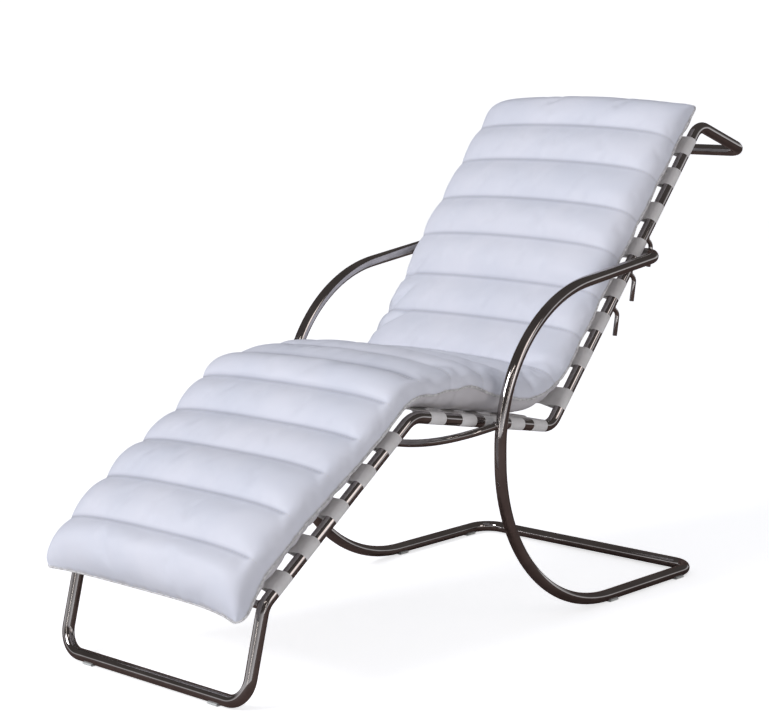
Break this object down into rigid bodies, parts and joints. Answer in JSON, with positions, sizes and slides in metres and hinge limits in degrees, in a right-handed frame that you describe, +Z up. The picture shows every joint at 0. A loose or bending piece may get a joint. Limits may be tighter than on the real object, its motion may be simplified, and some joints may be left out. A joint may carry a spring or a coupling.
{
  "type": "adjustable chaise longue",
  "caption": "Adjustable chaise longue: cantilever base of bent steel tube, hooked-on lounge frame, leather straps and a channelled cushion",
  "frame": {"origin": "on the floor, under the middle of the chair's bounding box", "axes": "+Z is up, +Y points from the foot end to the head end, +X is the sitter's left"},
  "size_m": [0.6496, 1.6456, 1.0807],
  "materials": {
    "chrome_tube": "polished chrome plate on bent steel tube and rod",
    "cushion_leather": "soft white leather with a fine grain, sewn into cross channels",
    "strap_leather": "off-white saddle leather with a satin face",
    "clear_plastic": "frosted clear plastic"
  },
  "bodies": {
    "base": {"base_tube_left": "chrome_tube", "base_tube_right": "chrome_tube", "floor_bar_plug": "chrome_tube", "arm_crossbar_plug": "chrome_tube", "seat_stretcher": "chrome_tube", "glide_front_left": "clear_plastic", "glide_rear_left": "clear_plastic", "glide_front_right": "clear_plastic", "glide_rear_right": "clear_plastic"},
    "lounge_frame": {"lounge_rail_left": "chrome_tube", "lounge_rail_right": "chrome_tube", "foot_bar_plug": "chrome_tube", "handle_plug": "chrome_tube", "foot_rod": "chrome_tube", "hook_left_1": "chrome_tube", "hook_left_2": "chrome_tube", "hook_left_3": "chrome_tube", "hook_right_1": "chrome_tube", "hook_right_2": "chrome_tube", "hook_right_3": "chrome_tube", "leg_strap_1": "strap_leather", "leg_strap_2": "strap_leather", "leg_strap_3": "strap_leather", "leg_strap_4": "strap_leather", "leg_strap_5": "strap_leather", "seat_strap_1": "strap_leather", "seat_strap_2": "strap_leather", "seat_strap_3": "strap_leather", "seat_strap_4": "strap_leather", "seat_strap_5": "strap_leather", "back_strap_1": "strap_leather", "back_strap_2": "strap_leather", "back_strap_3": "strap_leather", "back_strap_4": "strap_leather", "back_strap_5": "strap_leather", "back_strap_6": "strap_leather", "back_strap_7": "strap_leather", "back_strap_8": "strap_leather", "cushion": "cushion_leather", "glide_foot_left": "clear_plastic", "glide_foot_right": "clear_plastic"}
  },
  "joints": [
    {"name": "lounge_pivot", "type": "hinge", "parent": "base", "child": "lounge_frame", "pos_m": [0, 0.43513, 0.73848], "axis": [-1, 0, 0], "range_deg": [0, 20]}
  ]
}
